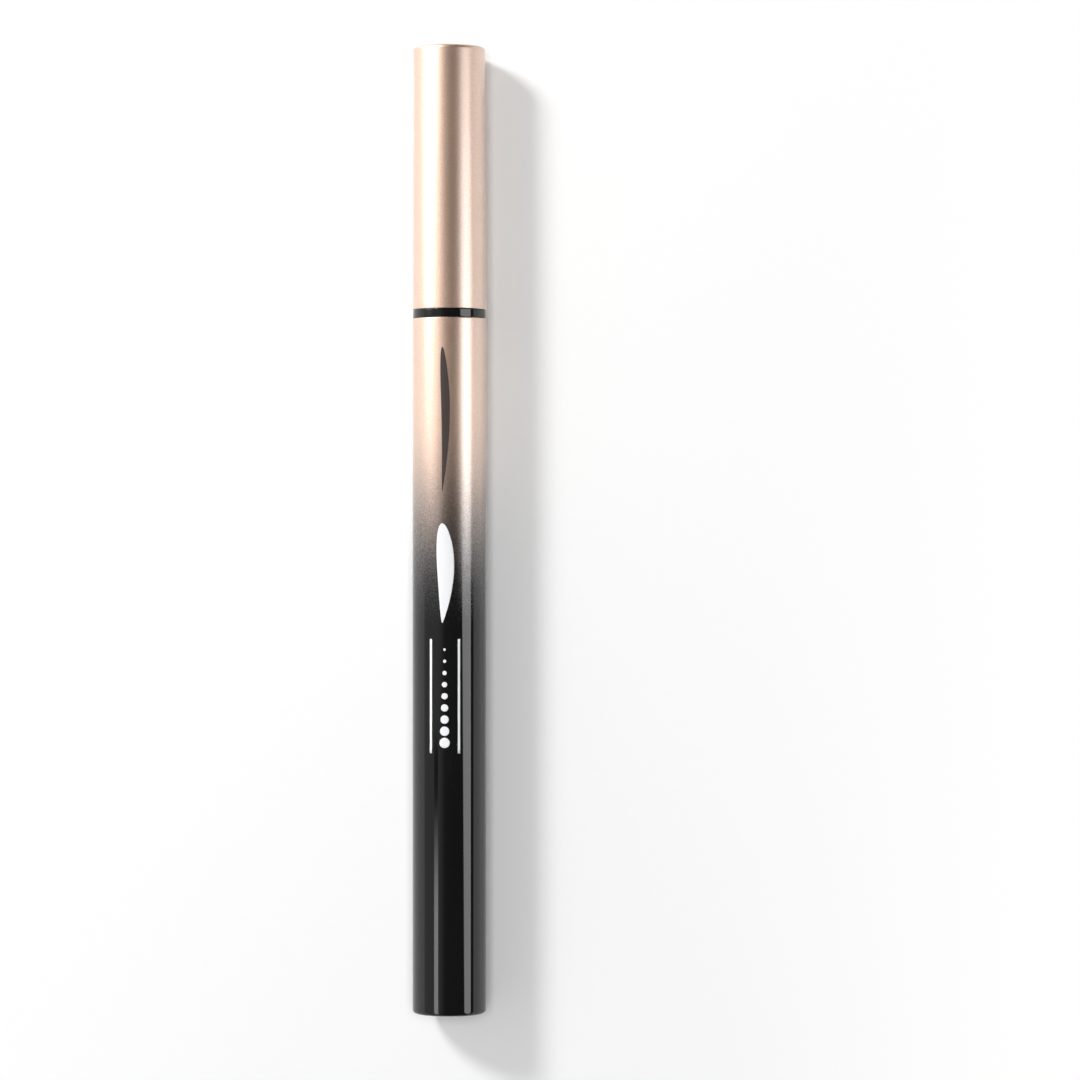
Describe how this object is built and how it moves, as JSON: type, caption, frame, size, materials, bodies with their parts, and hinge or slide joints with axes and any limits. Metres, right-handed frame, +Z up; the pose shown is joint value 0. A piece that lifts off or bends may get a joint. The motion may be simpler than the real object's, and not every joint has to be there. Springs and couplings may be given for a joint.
{
  "type": "liquid eyeliner pen",
  "caption": "Slim round liquid eyeliner pen with a push-on cap, a sprung inner cap, an angled nozzle with a fine fibre tip, and a sealed ink tank with a mixing ball.",
  "frame": {"origin": "on the surface that the closed pen lies on, under the middle of its length", "axes": "+Y along the pen from the tail to the top of the cap, +X to the side that the tip leans to, +Z up"},
  "size_m": [0.0104, 0.1376, 0.0105],
  "materials": {
    "barrel_lacquer": "metallic lacquer that fades along the barrel from rose gold to gloss black",
    "black_moulding": "gloss",
    "natural_plastic": "natural, milky",
    "steel_ball": "polished",
    "white_plastic": "moulded",
    "relay_fibre": "pressed fibre",
    "black_front": "high gloss",
    "black_nozzle": "gloss",
    "nib_fibre": "matt fibre",
    "inner_cap_plastic": "natural, milky",
    "spring_steel": "drawn wire",
    "cap_lacquer": "satin rose gold metallic lacquer"
  },
  "bodies": {
    "pen": {"barrel": "barrel_lacquer", "tail_plug": "black_moulding", "ink_tank": "natural_plastic", "collector": "white_plastic", "relay_core": "relay_fibre", "front_section": "black_front", "angled_nozzle": "black_nozzle", "nib": "nib_fibre"},
    "cap": {"cap_shell": "cap_lacquer", "cap_spring": "spring_steel"},
    "inner_cap": {"inner_cap": "inner_cap_plastic"},
    "mixing_ball": {"mixing_ball": "steel_ball"}
  },
  "joints": [
    {"name": "cap_pull", "type": "slide", "parent": "pen", "child": "cap", "axis": [0, 1, 0], "range_m": [0, 0.034]},
    {"name": "inner_cap_travel", "type": "slide", "parent": "cap", "child": "inner_cap", "axis": [0, -1, 0], "range_m": [0, 0.002], "deforming": ["cap_spring"]},
    {"name": "ball_roll", "type": "slide", "parent": "pen", "child": "mixing_ball", "axis": [0, 1, 0], "range_m": [0, 0.063]}
  ],
  "couplings": [
    {"joint": "inner_cap_travel", "follows": "cap_pull", "ratio": 0.058824}
  ]
}
